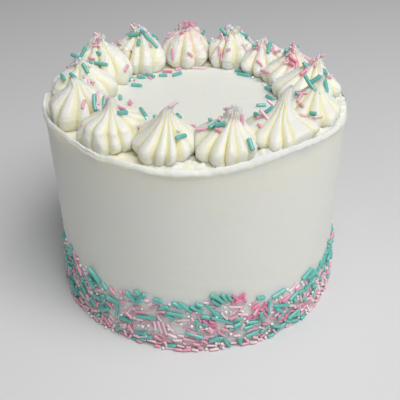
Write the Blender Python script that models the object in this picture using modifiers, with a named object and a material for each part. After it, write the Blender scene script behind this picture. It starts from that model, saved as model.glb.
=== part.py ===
# Gender reveal cake: a six-inch layer cake coated in vanilla buttercream, with a
# ragged icing lip, a crown of star-piped swirls and a band of sprinkles at the foot.
# Metres, +Z up. The cake stands on z = 0, its axis on the Z axis, its front to -Y.
# Azimuths are degrees about +Z, 0 at the front (-Y) and growing towards +X.

import bpy
import bmesh
import math
import random
from mathutils import Matrix, Vector

MM = 0.001

# ---------------------------------------------------------------- driving sizes
WALL_RADIUS = 80.0 * MM          # straight iced side
TOP_HEIGHT = 108.0 * MM          # flat iced top
FOOT_ROUND = 0.8 * MM            # small round where the side meets the table
WALL_WAVE = 0.25 * MM            # how far the scraped side wanders
LIP_BAND = 2.7 * MM              # height of the lip of icing round the top
LIP_REACH = 0.7 * MM             # how far it stands out past the side
LIP_ROOT = 78.4 * MM             # where it dies into the top
TURN_STEPS = 84                  # faces round the cake

SWIRL_COUNT = 14
SWIRL_INNER = 41.6 * MM          # inner and outer feet of the piped ring
SWIRL_OUTER = 77.4 * MM
SWIRL_LIMIT = 78.0 * MM          # feet end here, short of the lip
SWIRL_SPREAD = 16.0 * MM         # half width of a swirl before its neighbours press it
SWIRL_SEAT = 0.3 * MM            # gap under each swirl
SWIRL_GAP = 0.2 * MM             # from a swirl to the plane it shares with the next
SWIRL_PETALS = 10
PETAL_SIDES = 4                  # corners from one pleat to the next
SWIRL_LEVELS = [0.0, 0.12, 0.33, 0.54, 0.73, 0.90]

JIMMY_SIDES = 6
TEAL_THICK = 2.2 * MM            # long rod sprinkles
PINK_THICK = 1.6 * MM            # thinner rods
BAND_COUNT = 100                 # largest sprinkles pressed into the side
SINK = 0.20                      # share of its thickness a sprinkle is sunk past its axis

# Each swirl: the azimuth where it starts, how far out of the ring it sits in mm, the
# azimuth, radius and height of its pulled tip, its twist and first petal in degrees,
# how far its tip hooks over in mm and to which azimuth, how drawn in its neck is and
# how blunt its tip. The next one starts where it ends.
SWIRLS = [
    (-26.0, 0.6, -12.0, 60.5, 22.8, 6.0, 8.0, 2.8, 100.0, 1.4, 0.05),
    (-0.9, 2.6, 17.0, 61.0, 20.0, -4.0, 30.0, 0.8, -60.0, 1.1, 0.24),
    (23.6, 3.4, 45.5, 61.5, 24.6, -8.0, 14.0, 0.8, 60.0, 2.0, 0.05),
    (50.0, 2.8, 69.2, 65.8, 20.4, 5.0, 22.0, 1.2, 90.0, 1.6, 0.08),
    (78.0, 0.2, 93.0, 66.2, 22.0, 0.0, 4.0, 1.6, 120.0, 1.4, 0.07),
    (102.0, 1.0, 114.0, 60.0, 20.2, 7.0, 35.0, 1.4, 160.0, 1.5, 0.05),
    (124.0, 0.0, 137.0, 57.5, 18.6, -6.0, 12.0, 1.6, 60.0, 1.2, 0.05),
    (145.0, 1.0, 158.0, 59.0, 19.8, 3.0, 26.0, 1.0, 90.0, 0.3, 0.19),
    (170.5, -0.8, 184.2, 58.7, 21.6, -3.0, 18.0, 1.0, 0.0, 0.15, 0.17),
    (202.0, 0.0, 212.2, 61.0, 22.0, 5.0, 40.0, 1.0, -90.0, 0.3, 0.19),
    (228.0, 1.0, 238.5, 65.0, 24.0, 8.0, 6.0, 2.2, 80.0, 0.2, 0.17),
    (252.0, 2.0, 265.5, 61.2, 21.6, -5.0, 24.0, 1.2, -90.0, 0.5, 0.08),
    (278.0, 3.0, 293.3, 63.5, 22.4, 4.0, 15.0, 2.0, -100.0, 0.3, 0.09),
    (308.7, 2.7, 320.8, 61.5, 22.2, -6.0, 33.0, 1.0, -30.0, 1.6, 0.05),
]

# Outline of a swirl from its foot to its tip, share of its height and of its width:
# one that stays full, one whose neck is drawn in as the nozzle lifts, and one spun out
# into a long spire. A neck of 0, 1 or 2 is one of the three, and between them a mix.
FULL_OUTLINE = [
    (0.00, 0.90), (0.09, 0.98), (0.25, 1.02), (0.43, 0.95),
    (0.60, 0.73), (0.76, 0.43), (0.91, 0.17), (1.00, 0.03),
]
KISS_OUTLINE = [
    (0.00, 0.90), (0.09, 0.98), (0.25, 1.02), (0.43, 0.93),
    (0.60, 0.63), (0.76, 0.31), (0.91, 0.15), (1.00, 0.03),
]
SPIRE_OUTLINE = [
    (0.00, 0.90), (0.12, 1.00), (0.22, 1.01), (0.35, 0.84),
    (0.49, 0.45), (0.64, 0.25), (0.83, 0.15), (1.00, 0.03),
]

# Height of the lip's crest above the flat top: azimuth, millimetres.
LIP_CREST = [
    (-180, 1.5), (-130, 1.9), (-98, 1.2), (-93, 3.2), (-88, 5.0), (-82, 5.8), (-76, 4.7), (-70, 4.3),
    (-62, 5.4), (-53, 6.2), (-47, 5.6), (-38, 3.8), (-33, 2.9), (-28, 3.3), (-22, 2.8), (-17, 1.5),
    (-10, 1.0), (-4, 1.5), (4, 1.2), (8, 2.2), (19, 4.1), (26, 5.0), (33, 5.5), (42, 5.2), (51, 4.0),
    (60, 2.2), (68, 1.0), (76, 0.3), (100, 0.6), (140, 1.8), (180, 1.5),
]

# Height of the sprinkle band's upper edge round the cake: azimuth, millimetres.
BAND_EDGE = [
    (-180, 34), (-150, 30), (-120, 33), (-100, 30), (-83, 28), (-72, 36), (-62, 39), (-54, 36), (-50, 33),
    (-45, 38), (-36, 32), (-30, 32), (-23, 36), (-17, 30), (-8, 32), (2, 33), (7, 38), (14, 37), (18, 28),
    (23, 31), (27, 28), (34, 30), (40, 27), (45, 33), (55, 26), (62, 28), (70, 35), (77, 31), (90, 28),
    (120, 30), (150, 34), (180, 34),
]


def between(table, x):
    """Read a table of (x, y) pairs, straight between its rows."""
    for (x0, y0), (x1, y1) in zip(table, table[1:]):
        if x <= x1:
            return y0 + (y1 - y0) * max(0.0, (x - x0) / (x1 - x0))
    return table[-1][1]


def at(azimuth, radius, height):
    """A point from its azimuth in degrees, its radius and its height."""
    turn = math.radians(azimuth)
    return Vector((radius * math.sin(turn), -radius * math.cos(turn), height))


def swell(azimuth, middle, width):
    """A smooth bump round the cake, 1 at its middle azimuth."""
    away = (azimuth - middle + 180.0) % 360.0 - 180.0
    return math.exp(-(away / width) ** 2)


def ripple(azimuth, seed):
    """An even-tempered random wave round the cake, from -1 to 1."""
    draw = random.Random(seed)
    total = 0.0
    for waves in (3, 5, 8, 13, 19):
        total += math.sin(math.radians(azimuth) * waves + draw.uniform(0.0, math.tau)) / math.sqrt(waves)
    return total / 1.9


def lip_crest(azimuth):
    """Height of the lip's crest above the flat top, ragged a little."""
    return (between(LIP_CREST, azimuth) + 0.3 * ripple(azimuth, 5)) * MM


def lip_reach(azimuth):
    """How far the lip stands out past the side: smeared in two places, worn off in one."""
    return max(-1.0 * MM, LIP_REACH * (1.0 + 0.30 * ripple(azimuth, 9)) + 0.5 * MM * swell(azimuth, -4.0, 6.0)
               - 2.2 * MM * swell(azimuth, 93.0, 15.0))


def wall_radius(azimuth, height):
    """The scraped side, straight but for a slow wave."""
    return WALL_RADIUS + WALL_WAVE * ripple(azimuth, 3) * math.sin(math.pi * height / TOP_HEIGHT)


# ---------------------------------------------------------------- object helpers
def new_object(name, mesh, collection):
    thing = bpy.data.objects.new(name, mesh)
    collection.objects.link(thing)
    return thing


def icing(name, colour, roughness):
    material = bpy.data.materials.new(name)
    material.use_nodes = True
    shader = material.node_tree.nodes["Principled BSDF"]
    shader.inputs["Base Color"].default_value = (*colour, 1.0)
    shader.inputs["Roughness"].default_value = roughness
    shader.inputs["Metallic"].default_value = 0.0
    return material


def evaluated_mesh(thing):
    graph = bpy.context.evaluated_depsgraph_get()
    return bpy.data.meshes.new_from_object(thing.evaluated_get(graph))


# ---------------------------------------------------------------- the iced cake
def turned_cake(collection):
    """The cake and its lip, turned from one profile and then made uneven."""
    # the lip: past the side as a share of its reach, down from its crest as a share of its band
    lip = [(-0.4, 0.0), (0.6, 0.25), (1.0, 0.65), (0.8, 1.0), (0.0, 1.5)]
    profile = [(0.0, TOP_HEIGHT), (SWIRL_INNER, TOP_HEIGHT), (LIP_ROOT, TOP_HEIGHT)]
    for past, down in lip:
        profile.append((WALL_RADIUS + past * LIP_REACH, TOP_HEIGHT + 5.0 * MM - down * LIP_BAND))
    profile += [(WALL_RADIUS, 52.0 * MM), (WALL_RADIUS, FOOT_ROUND)]
    profile += [(WALL_RADIUS - FOOT_ROUND, 0.0), (0.0, 0.0)]
    rows = len(profile)
    mesh = bpy.data.meshes.new("cake_profile")
    mesh.from_pydata([(x, 0.0, z) for x, z in profile], [(i, i + 1) for i in range(rows - 1)], [])
    turned = new_object("cake_profile", mesh, collection)
    screw = turned.modifiers.new("Turn", 'SCREW')
    screw.steps = screw.render_steps = TURN_STEPS
    screw.use_merge_vertices = True
    screw.merge_threshold = 0.00001
    body = evaluated_mesh(turned)
    bpy.data.objects.remove(turned)

    for vertex in body.vertices:
        x, y, z = vertex.co
        radius = math.hypot(x, y)
        azimuth = math.degrees(math.atan2(x, -y))
        row = min(range(rows), key=lambda k: (profile[k][0] - radius) ** 2 + (profile[k][1] - z) ** 2)
        if 3 <= row <= 7:                       # the lip, from its crest to where it meets the side
            past, down = lip[row - 3]
            reach = lip_reach(azimuth)
            radius = WALL_RADIUS + past * reach
            if row == 3 or (row < 7 and reach < 0.0):
                radius = WALL_RADIUS + min(-0.3 * MM, reach)
            z = TOP_HEIGHT + lip_crest(azimuth) - down * LIP_BAND
        elif row in (8, 9):
            radius = wall_radius(azimuth, z)
        vertex.co = at(azimuth, radius, z)
    return new_object("cake", body, collection)


# ---------------------------------------------------------------- piped swirls
def swirl_pleats(index):
    """Where the pleats of one swirl lie round it, how deep each is, how proud each petal."""
    draw = random.Random(40 + index)
    pleats = []
    for k in range(SWIRL_PETALS):
        place = (k + draw.uniform(-0.22, 0.22)) / SWIRL_PETALS
        drift, depth = draw.uniform(-0.03, 0.03), draw.uniform(0.6, 1.25)
        pleats.append((place, drift, depth))
    return pleats, [draw.uniform(0.94, 1.06) for _ in range(SWIRL_PETALS)]


def swirl_section(index, petal, across_petal, share):
    """Surface of one swirl: a petal, 0 to 1 across it, and share from foot to tip."""
    (start, seat, tip_azimuth, tip_radius, tip_height, twist, first,
     hook, hook_azimuth, neck, blunt) = SWIRLS[index]
    end = SWIRLS[(index + 1) % SWIRL_COUNT][0]
    end += 360.0 if end < start else 0.0
    middle = (start + end) / 2.0
    pleats, proud = swirl_pleats(index)

    after = (petal + 1) % SWIRL_PETALS
    left = pleats[petal][0] + pleats[petal][1] * (share - 0.3)
    right = pleats[after][0] + pleats[after][1] * (share - 0.3) + (1.0 if after == 0 else 0.0)
    turn = math.tau * (left + (right - left) * across_petal)
    bulge = math.sin(math.pi * across_petal) ** 0.7
    depth = between([(0.0, 0.10), (0.1, 0.20), (0.3, 0.30), (0.6, 0.38), (0.85, 0.36), (1.0, 0.1)], share)
    depth *= pleats[petal][2] * (1.0 - across_petal) + pleats[after][2] * across_petal
    if neck > 1.0:
        width = (2.0 - neck) * between(KISS_OUTLINE, share) + (neck - 1.0) * between(SPIRE_OUTLINE, share)
    else:
        width = (1.0 - neck) * between(FULL_OUTLINE, share) + neck * between(KISS_OUTLINE, share)
    width = math.hypot(width, blunt * share ** 4)
    width *= (1.0 - depth * (1.0 - bulge)) * proud[petal] ** bulge

    swing = turn + math.radians(first + 2.0 * twist * share)
    across = width * SWIRL_SPREAD * math.sin(swing) * min(1.0, 0.87 + 0.9 * share)
    along = width * (SWIRL_OUTER - SWIRL_INNER) / 2.0 * math.cos(swing)
    heart = at(middle, (SWIRL_INNER + SWIRL_OUTER) / 2.0 + seat * MM, 0.0)
    pull = at(tip_azimuth, tip_radius * MM, 0.0) - heart
    out = at(middle, 1.0, 0.0)
    side = at(middle + 90.0, 1.0, 0.0)
    bend = max(0.0, share - 0.84) / 0.16
    point = heart + pull * share ** 1.7 + out * along + side * across
    point += at(hook_azimuth, hook * MM * bend ** 2, 0.0)

    for azimuth, sign in ((start, 1.0), (end, -1.0)):   # pressed by its neighbours
        inward = at(azimuth + 90.0, sign, 0.0)
        room = point.dot(inward)
        soft = 1.3 * MM
        if room < SWIRL_GAP + soft:
            pressed = SWIRL_GAP + soft * math.exp((room - SWIRL_GAP - soft) / soft)
            point += inward * (pressed - room)
    reach = math.hypot(point.x, point.y)
    if reach > SWIRL_LIMIT - 1.0 * MM:                  # and by the lip
        point *= (SWIRL_LIMIT - 1.0 * MM * math.exp((SWIRL_LIMIT - 1.0 * MM - reach) / MM)) / reach
    point.z = TOP_HEIGHT + SWIRL_SEAT + tip_height * MM * share
    return point


def piped_swirl(index, collection):
    """A star-piped swirl, drawn from a ball into pleats that meet at its tip."""
    form = bmesh.new()
    sides, rings = SWIRL_PETALS * PETAL_SIDES, len(SWIRL_LEVELS)
    bmesh.ops.create_uvsphere(form, u_segments=sides, v_segments=rings + 1, radius=1.0)
    ends = {}
    for share in (0.0, 1.0):
        ring = [swirl_section(index, petal, 0.0, share) for petal in range(SWIRL_PETALS)]
        ends[share] = sum(ring, Vector()) / SWIRL_PETALS
    for vertex in form.verts:
        x, y, z = vertex.co
        level = round(math.acos(max(-1.0, min(1.0, -z))) / math.pi * (rings + 1))
        if level in (0, rings + 1):
            vertex.co = ends[0.0 if level == 0 else 1.0]
        else:
            petal, side = divmod(round(math.atan2(y, x) / math.tau * sides) % sides, PETAL_SIDES)
            vertex.co = swirl_section(index, petal, side / PETAL_SIDES, SWIRL_LEVELS[level - 1])
    bmesh.ops.recalc_face_normals(form, faces=form.faces)
    mesh = bpy.data.meshes.new("swirl_%02d" % (index + 1))
    form.to_mesh(mesh)
    form.free()
    return new_object("swirl_%02d" % (index + 1), mesh, collection)


# ---------------------------------------------------------------- sprinkles
def sprinkle(place, lie, out, length, thick, collection):
    """One rod or pearl: a ball stretched along the way it lies, sunk into the icing."""
    form = bmesh.new()
    bmesh.ops.create_uvsphere(form, u_segments=JIMMY_SIDES, v_segments=3, radius=thick / 2.0)
    stretch = max(0.0, length - thick) / 2.0
    for vertex in form.verts:
        vertex.co.z += math.copysign(stretch, vertex.co.z)
    lie = (lie - out * lie.dot(out)).normalized()
    frame = Matrix((out, lie.cross(out), lie)).transposed().to_4x4()
    frame.translation = place + out * thick * (0.5 - SINK)
    form.transform(frame)
    mesh = bpy.data.meshes.new("sprinkle")
    form.to_mesh(mesh)
    form.free()
    return new_object("sprinkle", mesh, collection)


def band_sprinkles(collection):
    """The largest sprinkles of the band, spread by the golden ratio up to its edge."""
    draw = random.Random(21)
    golden = (math.sqrt(5.0) - 1.0) / 2.0
    for count in range(BAND_COUNT):
        azimuth = 360.0 * ((count * golden) % 1.0) - 180.0
        edge = between(BAND_EDGE, azimuth) * MM
        climb = ((count + 0.5) / BAND_COUNT) ** 0.85
        teal = draw.random() < 0.62
        thick = TEAL_THICK if teal else PINK_THICK
        length = draw.uniform(6.5, 10.0) * MM if teal else draw.uniform(5.0, 7.0) * MM
        lean = math.radians(draw.uniform(-80.0, 80.0))
        height = 1.6 * MM + climb * (edge - 4.0 * MM)
        reach = abs(math.sin(lean)) * (length - thick) / 2.0 + thick / 2.0
        height = max(height, reach + 0.4 * MM)
        out = at(azimuth, 1.0, 0.0)
        side = at(azimuth + 90.0, 1.0, 0.0)
        lie = side * math.cos(lean) + Vector((0.0, 0.0, math.sin(lean)))
        sprinkle(at(azimuth, wall_radius(azimuth, height), height), lie, out, length, thick, collection)


def top_sprinkles(collection):
    """A few rods and pearls lying on the flat top, just inside the ring of swirls."""
    draw = random.Random(8)
    up = Vector((0.0, 0.0, 1.0))
    for count in range(14):
        azimuth = -170.0 + 360.0 / 14.0 * count + draw.uniform(-7.0, 7.0)
        teal = count % 3 != 2
        thick = TEAL_THICK if teal else PINK_THICK
        length = draw.uniform(5.0, 6.5) * MM
        radius = SWIRL_INNER - 3.4 * MM - draw.uniform(0.0, 2.5) * MM
        lie = at(azimuth + 90.0 + draw.uniform(-22.0, 22.0), 1.0, 0.0)
        sprinkle(at(azimuth, radius, TOP_HEIGHT), lie, up, length, thick, collection)


def swirl_sprinkles(index, collection):
    """Two or three sprinkles on the slopes of a swirl, away from its neighbours."""
    draw = random.Random(70 + index)
    for count in range(3 if index in (3, 4, 7, 9, 13) else 2):
        first = math.radians(SWIRLS[index][6])
        facing = (math.pi if count < 2 else 0.0) - first        # inner slope first
        turn = facing + draw.uniform(-0.55, 0.55) + 0.8 * (count - 0.5) * (count < 2)
        petal = int(turn / math.tau * SWIRL_PETALS) % SWIRL_PETALS
        share = draw.uniform(0.40, 0.68)
        here = swirl_section(index, petal, 0.45, share)
        above = swirl_section(index, petal, 0.45, share + 0.12)
        beside = swirl_section(index, petal, 0.70, share)
        rise = (above - here).normalized()
        run = (beside - here).normalized()
        out = run.cross(rise).normalized()
        lean = draw.uniform(-1.2, 1.2)
        lie = rise * math.cos(lean) + run * math.sin(lean)
        thick = TEAL_THICK if count != 1 else PINK_THICK
        sprinkle(here, lie, out, draw.uniform(4.6, 6.4) * MM, thick, collection)


def fuse(body, toppings):
    """Join a body and all the sprinkles on it into one closed solid."""
    union = body.modifiers.new("Sprinkles", 'BOOLEAN')
    union.operation = 'UNION'
    union.operand_type = 'COLLECTION'
    union.collection = toppings
    union.solver = 'MANIFOLD'
    joined = evaluated_mesh(body)
    body.modifiers.remove(union)
    body.data = joined
    for thing in list(toppings.objects):
        bpy.data.objects.remove(thing)
    bpy.data.collections.remove(toppings)

    form = bmesh.new()                                   # keep the one main body
    form.from_mesh(joined)
    bmesh.ops.triangulate(form, faces=form.faces)
    left, best = set(form.verts), []
    while left:
        island, front = [], [left.pop()]
        while front:
            vertex = front.pop()
            island.append(vertex)
            for edge in vertex.link_edges:
                other = edge.other_vert(vertex)
                if other in left:
                    left.remove(other)
                    front.append(other)
        if len(island) > len(best):
            best = island
    keep = set(best)
    bmesh.ops.delete(form, geom=[v for v in form.verts if v not in keep], context='VERTS')
    form.to_mesh(joined)
    form.free()


# ---------------------------------------------------------------- build
for thing in list(bpy.data.objects):
    bpy.data.objects.remove(thing)

model = bpy.data.collections.new("gender_reveal_cake")
bpy.context.scene.collection.children.link(model)

coat = icing("Buttercream", (0.83, 0.82, 0.76), 0.45)
piped = icing("Piped buttercream", (0.88, 0.87, 0.80), 0.42)

cake = turned_cake(model)
pressed = bpy.data.collections.new("cake_sprinkles")
bpy.context.scene.collection.children.link(pressed)
band_sprinkles(pressed)
top_sprinkles(pressed)
fuse(cake, pressed)
cake.data.materials.clear()
cake.data.materials.append(coat)
cake.data.shade_smooth()
cake.data.set_sharp_from_angle(angle=math.radians(35.0))

for index in range(SWIRL_COUNT):
    swirl = piped_swirl(index, model)
    strewn = bpy.data.collections.new("swirl_sprinkles")
    bpy.context.scene.collection.children.link(strewn)
    swirl_sprinkles(index, strewn)
    fuse(swirl, strewn)
    swirl.data.materials.clear()
    swirl.data.materials.append(piped)
    swirl.data.shade_smooth()
    swirl.data.set_sharp_from_angle(angle=math.radians(50.0))
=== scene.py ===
import math
import random

import bpy
import numpy as np
from mathutils import Matrix, Vector, noise
from mathutils.bvhtree import BVHTree


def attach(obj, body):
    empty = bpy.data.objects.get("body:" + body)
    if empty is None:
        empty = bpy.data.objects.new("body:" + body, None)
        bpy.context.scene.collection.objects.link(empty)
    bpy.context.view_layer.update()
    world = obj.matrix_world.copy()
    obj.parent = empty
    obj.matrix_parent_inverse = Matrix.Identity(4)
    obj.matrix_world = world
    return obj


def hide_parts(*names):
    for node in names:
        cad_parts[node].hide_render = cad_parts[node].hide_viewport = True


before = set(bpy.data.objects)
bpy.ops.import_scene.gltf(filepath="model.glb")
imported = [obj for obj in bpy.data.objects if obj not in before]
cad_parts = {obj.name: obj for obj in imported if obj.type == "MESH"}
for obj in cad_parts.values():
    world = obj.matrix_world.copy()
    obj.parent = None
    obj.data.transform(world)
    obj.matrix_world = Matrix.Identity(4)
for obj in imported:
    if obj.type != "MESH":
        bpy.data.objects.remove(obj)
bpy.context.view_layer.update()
MM = 0.001

# ---------------------------------------------------------------------------
# The iced cake. Sponge layers under one smooth coat of vanilla buttercream,
# scraped straight round the side, with the soft edge left standing as a thin
# ragged lip and the top levelled with a palette knife.
# ---------------------------------------------------------------------------
WALL_MM = 80.0
TOP_MM = 108.0
WALL_RADIUS = WALL_MM * MM
TOP_HEIGHT = TOP_MM * MM
CAKE_COLUMNS = 900
LIP_STEPS = 2


def at(azimuth, radius, height):
    """A point from its azimuth in degrees (0 at the front), radius and height."""
    turn = math.radians(azimuth)
    return Vector((radius * math.sin(turn), -radius * math.cos(turn), height))


def between(table, x):
    """Read a table of (x, y) pairs, straight between its rows."""
    for (x0, y0), (x1, y1) in zip(table, table[1:]):
        if x <= x1:
            return y0 + (y1 - y0) * max(0.0, (x - x0) / (x1 - x0))
    return table[-1][1]


def ramp(value, start, length):
    """0 up to the start, then rising evenly to 1 over the length."""
    return min(1.0, max(0.0, (value - start) / length))


def swell(azimuth, middle, width):
    """A smooth bump round the cake, 1 at its middle azimuth."""
    away = (azimuth - middle + 180.0) % 360.0 - 180.0
    return math.exp(-(away / width) ** 2)


def ripple(azimuth, seed):
    """An even-tempered random wave round the cake, from -1 to 1."""
    draw = random.Random(seed)
    total = 0.0
    for waves in (3, 5, 8, 13, 19):
        total += math.sin(math.radians(azimuth) * waves + draw.uniform(0.0, math.tau)) / math.sqrt(waves)
    return total / 1.9


def rag(azimuth, lane, size):
    """Fine raggedness of torn icing along the lip, size in mm of arc."""
    place = at(azimuth, WALL_RADIUS / (size * MM), lane * 7.3)
    return noise.noise(place)


def mesh_piece(name, points, faces):
    """A smooth mesh object that rides with the cake."""
    mesh = bpy.data.meshes.new(name)
    mesh.from_pydata(points, [], faces)
    mesh.validate()
    mesh.shade_smooth()
    piece = bpy.data.objects.new(name, mesh)
    bpy.context.scene.collection.objects.link(piece)
    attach(piece, "root")
    return piece


def float_layer(piece, name, values):
    """Give a piece one value for each of its points, which its material reads by name."""
    layer = piece.data.attributes.new(name, 'FLOAT', 'POINT')
    layer.data.foreach_set("value", values)


# strokes of the palette knife: middle x and y, radius, first and last degree, height and width, in mm
KNIFE_STROKES = (
    (4.0, -60.0, 92.0, 58.0, 92.0, 0.34, 0.8),
    (16.0, 2.0, 14.0, 10.0, 120.0, 0.30, 0.9),
    (22.0, 4.0, 9.0, 200.0, 330.0, 0.22, 0.8),
    (-6.0, 34.0, 58.0, 235.0, 275.0, 0.26, 1.0),
    (-50.0, 10.0, 56.0, -22.0, 12.0, 0.18, 1.2),
    (0.0, -4.0, 27.0, 285.0, 345.0, 0.20, 0.7),
)
STROKE_FADE = 10.0                                # degrees at either end of a stroke


def palette_marks(x, y):
    """Low ridges left by the palette knife on the levelled top, in mm."""
    marks = 0.0
    for cx, cy, radius, start, end, height, width in KNIFE_STROKES:
        angle = math.degrees(math.atan2(y - cy, x - cx))
        angle += 360.0 * ((start - 30.0 - angle) // 360.0 + 1)
        fade = ramp(angle, start, STROKE_FADE) * ramp(end, angle, STROKE_FADE)
        if fade > 0.0:
            off = math.hypot(x - cx, y - cy) - radius
            marks += fade * height * math.exp(-(off / width) ** 2)
    return marks


# azimuth, and how far the lip's crest stands above the levelled top, in mm
LIP_CREST = [
    (-180, 1.5), (-130, 1.9), (-98, 1.2), (-93, 3.2), (-88, 5.0), (-82, 5.8), (-76, 4.7), (-70, 4.3),
    (-62, 5.4), (-53, 6.2), (-47, 5.6), (-42, 4.6), (-38, 3.8), (-33, 2.9), (-28, 3.3), (-22, 2.8),
    (-17, 1.5), (-10, 1.0), (-4, 1.5), (4, 1.2), (8, 2.2), (13, 2.8), (19, 4.1), (26, 5.0), (33, 5.5),
    (42, 5.2), (51, 4.0), (60, 2.2), (68, 1.0), (76, 0.3), (100, 0.6), (140, 1.8), (180, 1.5),
]


def lip_profile(azimuth):
    """Section of the lip: how far past the wall and above the top, in mm."""
    crest = between(LIP_CREST, azimuth) + 0.8 * swell(azimuth, 24.0, 14.0)
    crest += 0.40 * rag(azimuth, 1, 6.0) + 0.38 * rag(azimuth, 2, 2.2) + 0.24 * rag(azimuth, 3, 0.9)
    band = 2.7 + 0.5 * rag(azimuth, 8, 8.0) + 0.25 * rag(azimuth, 2, 3.0) + 1.2 * swell(azimuth, 20.0, 16.0)
    thick = 1.0 + 0.25 * rag(azimuth, 6, 9.0) + 1.6 * swell(azimuth, -4.0, 7.0)
    thick = min(1.6, thick + 1.3 * swell(azimuth, 62.0, 9.0))
    reach = (0.95 + 0.30 * rag(azimuth, 4, 7.0) + 0.32 * rag(azimuth, 5, 2.5)
             + 0.5 * swell(azimuth, -4.0, 6.0) - 2.2 * swell(azimuth, 93.0, 15.0))
    notch = 0.9 * swell(azimuth, -38.0, 7.0)
    return [
        (-1.6 - 1.3 * thick, 0.05), (-1.0 - 1.1 * thick, 0.22 * crest),
        (-0.55 - 0.8 * thick, 0.62 * crest), (-0.25 - 0.45 * thick, 0.92 * crest),
        (min(0.0, reach), crest), (0.6 * reach, crest - 0.25 * band),
        (reach - notch, crest - 0.48 * band), (reach + 0.1, crest - 0.72 * band),
        (0.8 * reach, crest - band), (0.25 * reach, crest - 1.16 * band), (0.0, crest - 1.5 * band),
    ]


def filled(azimuth, radius):
    """Icing worked into the trough behind the lip, in mm: at the front and on the right."""
    depth = 0.3 + 1.2 * swell(azimuth, -4.0, 9.0) + 1.3 * swell(azimuth, 26.0, 6.0)
    depth += 2.0 * swell(azimuth, 34.0, 18.0) + 2.2 * swell(azimuth, 74.0, 18.0)
    spot = at(azimuth, radius, 0.0)
    lumps = 0.9 + 0.7 * noise.noise(spot / 4.0) + 0.5 * noise.noise(spot / 1.8)
    return depth * lumps * ramp(radius, 64.0, 9.0)


def smooth_path(points, steps):
    """Sample a Catmull-Rom curve through the points."""
    ends = [points[0]] + points + [points[-1]]
    path = []
    for k in range(1, len(ends) - 2):
        p0, p1, p2, p3 = (np.array(ends[k + j]) for j in (-1, 0, 1, 2))
        for i in range(steps):
            t = i / steps
            path.append(0.5 * (2 * p1 + (p2 - p0) * t + (2 * p0 - 5 * p1 + 4 * p2 - p3) * t * t
                               + (3 * p1 - p0 - 3 * p2 + p3) * t ** 3))
    return [point.tolist() for point in path] + [points[-1]]


def top_surface(azimuth, radius):
    """How far the top stands above its level, in mm, and how much painted shade it gets under the swirls and
    in the trough behind the lip.
    """
    x, y, _ = at(azimuth, radius, 0.0)
    rough = ramp(radius, 40.0, 6.0)               # levelled in the middle, left as it fell outside
    lift = 0.10 * noise.noise(Vector((x / 22.0, y / 22.0, 3.0))) + (1.0 - rough) * palette_marks(x, y)
    lift += rough * (0.45 * noise.noise(Vector((x / 5.0, y / 5.0, 9.0)))
                     + 0.30 * noise.noise(Vector((x / 2.2, y / 2.2, 5.0)))
                     + 0.14 * noise.noise(Vector((x, y, 2.0))))
    fill = filled(azimuth, radius)
    # painted shade: yellower cream from 43 mm out, under the swirls and in the trough, less where the trough
    # is filled
    painted_trough_shade = ramp(radius, 43.0, 6.0) * max(0.2, 1.0 - 0.6 * fill)
    return lift + fill, 0.46 * painted_trough_shade * (0.75 + 0.25 * noise.noise(Vector((x / 9.0, y / 9.0, 1.0))))


def side_surface(azimuth, height):
    """How far the scraped side stands past its radius, in mm: drawn in at the very foot."""
    wave = 0.25 * ripple(azimuth, 3) * math.sin(math.pi * height / TOP_MM)
    spot = at(azimuth, WALL_MM, height)
    wave += 0.10 * noise.noise(Vector((spot.x / 14.0, spot.y / 14.0, spot.z / 5.0)))
    return wave - 0.8 * max(0.0, 1.0 - height / 1.6) ** 2


def iced_cake():
    """The skin of the cake as columns from the middle of the top to the table."""
    top_radii = [0.8, 2, 4, 6] + list(range(8, 77))
    side_heights = [103.2 - 1.9 * k for k in range(54)] + [1.2, 0.5, 0.1]
    points, painted_cake_shade = [], []
    for column in range(CAKE_COLUMNS):
        azimuth = 360.0 * column / CAKE_COLUMNS
        azimuth -= 360.0 if azimuth > 180.0 else 0.0
        for radius in top_radii:
            lift, depth = top_surface(azimuth, radius)
            points.append(at(azimuth, radius * MM, TOP_HEIGHT + lift * MM))
            painted_cake_shade.append(depth)
        for past, rise in smooth_path(lip_profile(azimuth), LIP_STEPS):
            if past < -0.3:
                rise = max(rise, filled(azimuth, WALL_MM + past))
            points.append(at(azimuth, WALL_RADIUS + past * MM, TOP_HEIGHT + rise * MM))
            # painted shade in the trough behind the lip, less where it is filled
            depth = max(0.0, min(0.35, (-1.3 - past) * 0.4))
            painted_cake_shade.append(depth * max(0.2, 1.0 - 0.5 * filled(azimuth, 78.0)))
        for height in side_heights:
            points.append(at(azimuth, WALL_RADIUS + side_surface(azimuth, height) * MM, height * MM))
            # a faint painted shade, stronger towards the top of the side
            painted_cake_shade.append(0.08 * max(0.0, (height - 84.0) / 20.0))
    rows = len(points) // CAKE_COLUMNS
    faces = []
    for column in range(CAKE_COLUMNS):
        here, there = column * rows, (column + 1) % CAKE_COLUMNS * rows
        faces += [(here + k, here + k + 1, there + k + 1, there + k) for k in range(rows - 1)]
    middle = len(points)
    points += [Vector((0.0, 0.0, TOP_HEIGHT)), Vector((0.0, 0.0, 0.1 * MM))]
    painted_cake_shade += [0.0, 0.0]
    for column in range(CAKE_COLUMNS):
        here, there = column * rows, (column + 1) % CAKE_COLUMNS * rows
        faces.append((middle, here, there))
        faces.append((middle + 1, there + rows - 1, here + rows - 1))
    piece = mesh_piece("cake_icing", points, faces)
    float_layer(piece, "painted_cake_shade", painted_cake_shade)
    return piece


def new_material(name, settings):
    """A material whose shader has these settings."""
    material = bpy.data.materials.new(name)
    material.use_nodes = True
    shader = material.node_tree.nodes["Principled BSDF"]
    for socket, value in settings.items():
        shader.inputs[socket].default_value = value
    return material


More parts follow.
